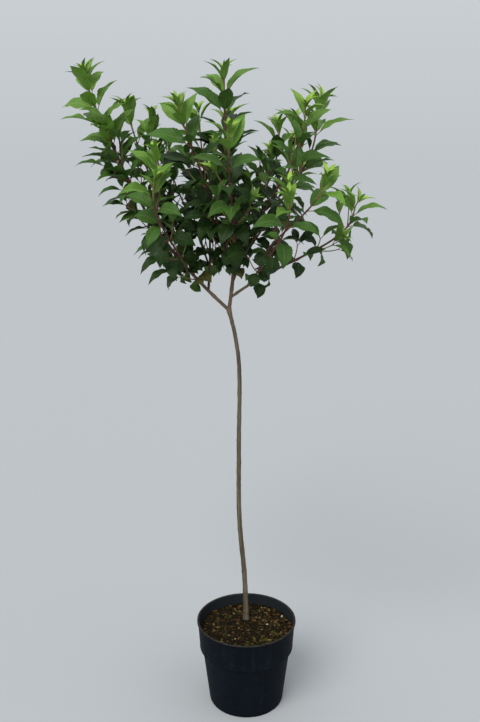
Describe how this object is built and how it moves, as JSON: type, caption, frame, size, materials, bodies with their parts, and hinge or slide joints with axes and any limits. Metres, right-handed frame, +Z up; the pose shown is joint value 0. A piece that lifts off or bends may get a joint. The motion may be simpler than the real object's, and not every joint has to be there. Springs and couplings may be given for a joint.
{
  "type": "potted panicle hydrangea",
  "caption": "Leafy panicle hydrangea trained as a small standard tree on one clear stem, in a round tapered nursery pot filled with bark medium.",
  "frame": {"origin": "middle of the pot's flat underside, on the surface that the pot stands on", "axes": "+Z up along the pot's axis, X to the right and +Y to the back as seen from the front"},
  "size_m": [0.7722, 0.5302, 1.6641],
  "materials": {
    "pot_plastic": "moulded blue-black plastic, satin, worn pale along the lip",
    "growing_medium": "brown composted bark with woody chips and flecks of moss",
    "bark": "greenish-grey bark with shallow ridges and old leaf scars",
    "shoot_bark": "smooth reddish-brown bark, paler breathing pores",
    "foliage": "soft satin leaves, mid to dark green with yellow-green tips, on maroon stems"
  },
  "bodies": {
    "root": {"pot": "pot_plastic", "soil": "growing_medium", "trunk": "bark", "bough_leader": "shoot_bark", "bough_left_outer": "shoot_bark", "bough_left_middle": "shoot_bark", "bough_left_inner": "shoot_bark", "bough_right_low": "shoot_bark", "bough_right_middle": "shoot_bark", "bough_right_high": "shoot_bark", "bough_right_second": "shoot_bark", "bough_centre_left": "shoot_bark", "bough_right_inner": "shoot_bark", "bough_centre_front": "shoot_bark", "bough_back_left": "shoot_bark", "bough_back_middle": "shoot_bark", "bough_back_right": "shoot_bark", "bough_front_left": "shoot_bark", "bough_front_right": "shoot_bark", "leaves_leader": "foliage", "leaves_left_outer": "foliage", "leaves_left_middle": "foliage", "leaves_left_inner": "foliage", "leaves_right_low": "foliage", "leaves_right_middle": "foliage", "leaves_right_high": "foliage", "leaves_right_second": "foliage", "leaves_centre_left": "foliage", "leaves_right_inner": "foliage", "leaves_centre_front": "foliage", "leaves_back_left": "foliage", "leaves_back_middle": "foliage", "leaves_back_right": "foliage", "leaves_front_left": "foliage", "leaves_front_right": "foliage"}
  },
  "joints": []
}
